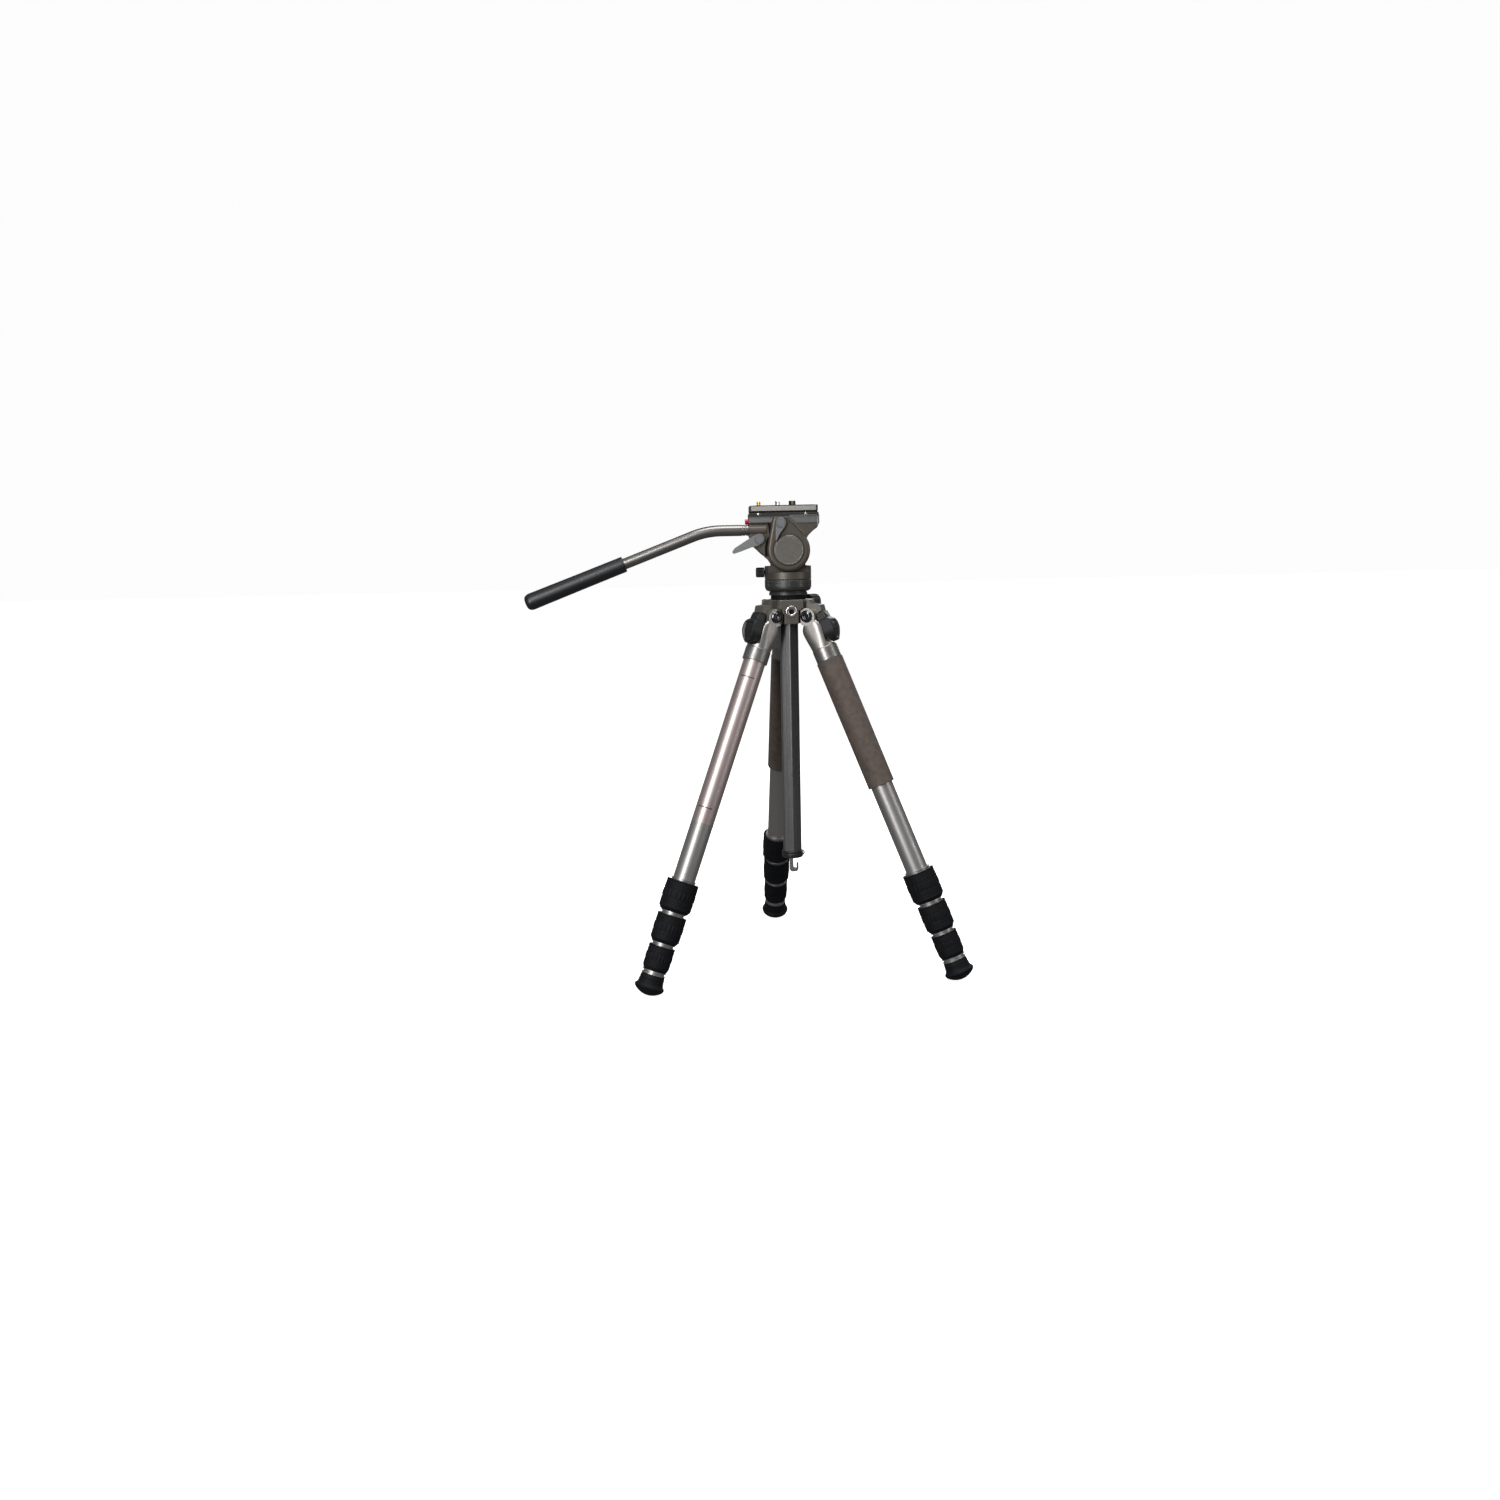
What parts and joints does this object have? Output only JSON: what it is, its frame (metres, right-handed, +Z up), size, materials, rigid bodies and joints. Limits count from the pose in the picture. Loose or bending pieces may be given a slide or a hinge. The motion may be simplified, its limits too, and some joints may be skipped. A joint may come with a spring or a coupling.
{
  "type": "video tripod with fluid head",
  "caption": "Folding video tripod with telescopic twist-lock legs, a sliding centre column and a fluid pan and tilt head with a bent handle.",
  "frame": {"origin": "where the centre column's axis meets the floor that the three feet stand on", "axes": "+Z up along the centre column, +X the way the lens looks, -Y the side with the pan handle and the two levers"},
  "size_m": [0.5596, 0.3913, 0.6096],
  "materials": {
    "casting": "satin die-cast aluminium, clear coated",
    "tube": "satin anodised drawn tube, warm silver",
    "hub_paint": "die-cast aluminium in bronze-grey satin paint",
    "head_paint": "die-cast aluminium in dark bronze-grey satin paint",
    "dark_anodised": "dark anodised extrusion, satin",
    "steel": "turned steel, bright",
    "lever": "grey moulded lever, satin",
    "rubber": "black moulded rubber, knurled",
    "plastic": "black moulded plastic, fine texture",
    "bolt": "glossy black domed bolt",
    "sleeve": "brown soft sleeve, fine herringbone rib",
    "red": "dark red moulded plastic",
    "brass": "gilt brass pin"
  },
  "bodies": {
    "hub": {"hub": "hub_paint", "accessory_socket": "steel"},
    "column": {"centre_column": "dark_anodised", "column_plate": "plastic", "mounting_stud": "steel", "column_bottom_cap": "plastic", "pan_base": "head_paint"},
    "column_knob": {"column_lock_knob": "plastic"},
    "side_screw": {"hub_side_screw": "plastic"},
    "hook": {"weight_hook": "steel"},
    "pan": {"pan_housing": "head_paint", "tilt_shaft": "steel"},
    "pan_knob": {"pan_lock_knob": "plastic"},
    "tilt": {"tilt_body": "head_paint", "tilt_cap": "casting"},
    "tilt_lever": {"tilt_lock_lever": "lever"},
    "clamp_lever": {"handle_clamp_lever": "lever"},
    "handle": {"handle_tube": "tube", "handle_grip": "rubber"},
    "plate": {"quick_release_plate": "dark_anodised"},
    "quarter_screw": {"quarter_inch_screw": "steel"},
    "three_eighths": {"three_eighths_screw": "steel"},
    "pin": {"video_pin": "brass"},
    "plate_knob": {"plate_lock_knob": "plastic"},
    "safety_button": {"plate_safety_button": "red"},
    "rear_leg": {"rear_leg_casting": "casting", "rear_hinge_pin": "bolt", "rear_upper_tube": "tube", "rear_leg_grip": "sleeve"},
    "rear_angle_lock": {"rear_angle_lock": "plastic"},
    "rear_upper_lock": {"rear_upper_twist_lock": "rubber"},
    "rear_second": {"rear_second_tube": "tube"},
    "rear_second_lock": {"rear_second_twist_lock": "rubber"},
    "rear_third": {"rear_third_tube": "tube"},
    "rear_third_lock": {"rear_third_twist_lock": "rubber"},
    "rear_lower": {"rear_lower_tube": "tube", "rear_foot": "rubber"},
    "left_leg": {"left_leg_casting": "casting", "left_hinge_pin": "bolt", "left_upper_tube": "tube"},
    "left_angle_lock": {"left_angle_lock": "plastic"},
    "left_upper_lock": {"left_upper_twist_lock": "rubber"},
    "left_second": {"left_second_tube": "tube"},
    "left_second_lock": {"left_second_twist_lock": "rubber"},
    "left_third": {"left_third_tube": "tube"},
    "left_third_lock": {"left_third_twist_lock": "rubber"},
    "left_lower": {"left_lower_tube": "tube", "left_foot": "rubber"},
    "right_leg": {"right_leg_casting": "casting", "right_hinge_pin": "bolt", "right_upper_tube": "tube", "right_leg_grip": "sleeve"},
    "right_angle_lock": {"right_angle_lock": "plastic"},
    "right_upper_lock": {"right_upper_twist_lock": "rubber"},
    "right_second": {"right_second_tube": "tube"},
    "right_second_lock": {"right_second_twist_lock": "rubber"},
    "right_third": {"right_third_tube": "tube"},
    "right_third_lock": {"right_third_twist_lock": "rubber"},
    "right_lower": {"right_lower_tube": "tube", "right_foot": "rubber"}
  },
  "joints": [
    {"name": "rear_leg_spread", "type": "hinge", "parent": "hub", "child": "rear_leg", "pos_m": [-0.0022, 0.03142, 0.463], "axis": [0.9976, 0.0698, 0], "range_deg": [-23, 0]},
    {"name": "rear_angle_release", "type": "slide", "parent": "rear_leg", "child": "rear_angle_lock", "axis": [-0.064, 0.9148, 0.3987], "range_m": [0, 0.0095], "stiffness_N_per_m": 400},
    {"name": "rear_upper_lock_twist", "type": "hinge", "parent": "rear_leg", "child": "rear_upper_lock", "pos_m": [-0.0022, 0.03142, 0.463], "axis": [-0.0278, 0.3978, -0.9171], "range_deg": [0, 120]},
    {"name": "rear_second_extend", "type": "slide", "parent": "rear_leg", "child": "rear_second", "axis": [-0.0278, 0.3978, -0.9171], "range_m": [0, 0.255]},
    {"name": "rear_second_lock_twist", "type": "hinge", "parent": "rear_second", "child": "rear_second_lock", "pos_m": [-0.0022, 0.03142, 0.463], "axis": [-0.0278, 0.3978, -0.9171], "range_deg": [0, 120]},
    {"name": "rear_third_extend", "type": "slide", "parent": "rear_second", "child": "rear_third", "axis": [-0.0278, 0.3978, -0.9171], "range_m": [0, 0.255]},
    {"name": "rear_third_lock_twist", "type": "hinge", "parent": "rear_third", "child": "rear_third_lock", "pos_m": [-0.0022, 0.03142, 0.463], "axis": [-0.0278, 0.3978, -0.9171], "range_deg": [0, 120]},
    {"name": "rear_lower_extend", "type": "slide", "parent": "rear_third", "child": "rear_lower", "axis": [-0.0278, 0.3978, -0.9171], "range_m": [0, 0.255]},
    {"name": "left_leg_spread", "type": "hinge", "parent": "hub", "child": "left_leg", "pos_m": [-0.02611, -0.01761, 0.463], "axis": [-0.5592, 0.829, 0], "range_deg": [-23, 0]},
    {"name": "left_angle_release", "type": "slide", "parent": "left_leg", "child": "left_angle_lock", "axis": [-0.7603, -0.5128, 0.3987], "range_m": [0, 0.0095], "stiffness_N_per_m": 400},
    {"name": "left_upper_lock_twist", "type": "hinge", "parent": "left_leg", "child": "left_upper_lock", "pos_m": [-0.02611, -0.01761, 0.463], "axis": [-0.3306, -0.223, -0.9171], "range_deg": [0, 120]},
    {"name": "left_second_extend", "type": "slide", "parent": "left_leg", "child": "left_second", "axis": [-0.3306, -0.223, -0.9171], "range_m": [0, 0.255]},
    {"name": "left_second_lock_twist", "type": "hinge", "parent": "left_second", "child": "left_second_lock", "pos_m": [-0.02611, -0.01761, 0.463], "axis": [-0.3306, -0.223, -0.9171], "range_deg": [0, 120]},
    {"name": "left_third_extend", "type": "slide", "parent": "left_second", "child": "left_third", "axis": [-0.3306, -0.223, -0.9171], "range_m": [0, 0.255]},
    {"name": "left_third_lock_twist", "type": "hinge", "parent": "left_third", "child": "left_third_lock", "pos_m": [-0.02611, -0.01761, 0.463], "axis": [-0.3306, -0.223, -0.9171], "range_deg": [0, 120]},
    {"name": "left_lower_extend", "type": "slide", "parent": "left_third", "child": "left_lower", "axis": [-0.3306, -0.223, -0.9171], "range_m": [0, 0.255]},
    {"name": "right_leg_spread", "type": "hinge", "parent": "hub", "child": "right_leg", "pos_m": [0.02831, -0.01381, 0.463], "axis": [-0.4384, -0.8988, 0], "range_deg": [-23, 0]},
    {"name": "right_angle_release", "type": "slide", "parent": "right_leg", "child": "right_angle_lock", "axis": [0.8242, -0.402, 0.3987], "range_m": [0, 0.0095], "stiffness_N_per_m": 400},
    {"name": "right_upper_lock_twist", "type": "hinge", "parent": "right_leg", "child": "right_upper_lock", "pos_m": [0.02831, -0.01381, 0.463], "axis": [0.3584, -0.1748, -0.9171], "range_deg": [0, 120]},
    {"name": "right_second_extend", "type": "slide", "parent": "right_leg", "child": "right_second", "axis": [0.3584, -0.1748, -0.9171], "range_m": [0, 0.255]},
    {"name": "right_second_lock_twist", "type": "hinge", "parent": "right_second", "child": "right_second_lock", "pos_m": [0.02831, -0.01381, 0.463], "axis": [0.3584, -0.1748, -0.9171], "range_deg": [0, 120]},
    {"name": "right_third_extend", "type": "slide", "parent": "right_second", "child": "right_third", "axis": [0.3584, -0.1748, -0.9171], "range_m": [0, 0.255]},
    {"name": "right_third_lock_twist", "type": "hinge", "parent": "right_third", "child": "right_third_lock", "pos_m": [0.02831, -0.01381, 0.463], "axis": [0.3584, -0.1748, -0.9171], "range_deg": [0, 120]},
    {"name": "right_lower_extend", "type": "slide", "parent": "right_third", "child": "right_lower", "axis": [0.3584, -0.1748, -0.9171], "range_m": [0, 0.255]},
    {"name": "column_raise", "type": "slide", "parent": "hub", "child": "column", "axis": [0, 0, 1], "range_m": [0, 0.25]},
    {"name": "column_knob_turn", "type": "hinge", "parent": "hub", "child": "column_knob", "pos_m": [0.02628, 0.01773, 0.4795], "axis": [0.829, 0.5592, 0], "range_deg": [0, 360]},
    {"name": "side_screw_turn", "type": "hinge", "parent": "hub", "child": "side_screw", "pos_m": [-0.02849, 0.0139, 0.4795], "axis": [-0.8988, 0.4384, 0], "range_deg": [0, 360]},
    {"name": "hook_pull", "type": "slide", "parent": "column", "child": "hook", "axis": [0, 0, -1], "range_m": [0, 0.02], "stiffness_N_per_m": 150},
    {"name": "pan_turn", "type": "hinge", "parent": "column", "child": "pan", "pos_m": [0, 0, 0.513], "axis": [0, 0, 1], "continuous": true},
    {"name": "pan_knob_turn", "type": "hinge", "parent": "pan", "child": "pan_knob", "pos_m": [-0.0303, 0, 0.5195], "axis": [-1, 0, 0], "range_deg": [0, 360]},
    {"name": "tilt", "type": "hinge", "parent": "pan", "child": "tilt", "pos_m": [0, 0, 0.5473], "axis": [0, 1, 0], "range_deg": [-40, 75]},
    {"name": "tilt_lever_swing", "type": "hinge", "parent": "tilt", "child": "tilt_lever", "pos_m": [-0.0094, -0.0309, 0.5816], "axis": [0, 1, 0], "range_deg": [0, 60]},
    {"name": "clamp_lever_swing", "type": "hinge", "parent": "tilt", "child": "clamp_lever", "pos_m": [-0.0371, -0.0309, 0.5618], "axis": [0, 1, 0], "range_deg": [-60, 0]},
    {"name": "handle_turn", "type": "hinge", "parent": "tilt", "child": "handle", "pos_m": [-0.0585, -0.023, 0.5731], "axis": [1, 0, 0], "range_deg": [-90, 90]},
    {"name": "plate_slide", "type": "slide", "parent": "tilt", "child": "plate", "axis": [1, 0, 0], "range_m": [-0.015, 0.015]},
    {"name": "quarter_screw_turn", "type": "hinge", "parent": "plate", "child": "quarter_screw", "pos_m": [-0.0118, 0, 0.5965], "axis": [0, 0, 1], "range_deg": [0, 360]},
    {"name": "three_eighths_turn", "type": "hinge", "parent": "plate", "child": "three_eighths", "pos_m": [0.007, 0, 0.5965], "axis": [0, 0, 1], "range_deg": [0, 360]},
    {"name": "video_pin_press", "type": "slide", "parent": "plate", "child": "pin", "axis": [0, 0, -1], "range_m": [0, 0.005], "stiffness_N_per_m": 300},
    {"name": "plate_knob_turn", "type": "hinge", "parent": "tilt", "child": "plate_knob", "pos_m": [-0.005, 0.0309, 0.5906], "axis": [0, 1, 0], "range_deg": [0, 360]},
    {"name": "safety_button_press", "type": "slide", "parent": "tilt", "child": "safety_button", "axis": [1, 0, 0], "range_m": [0, 0.0025], "stiffness_N_per_m": 400}
  ]
}
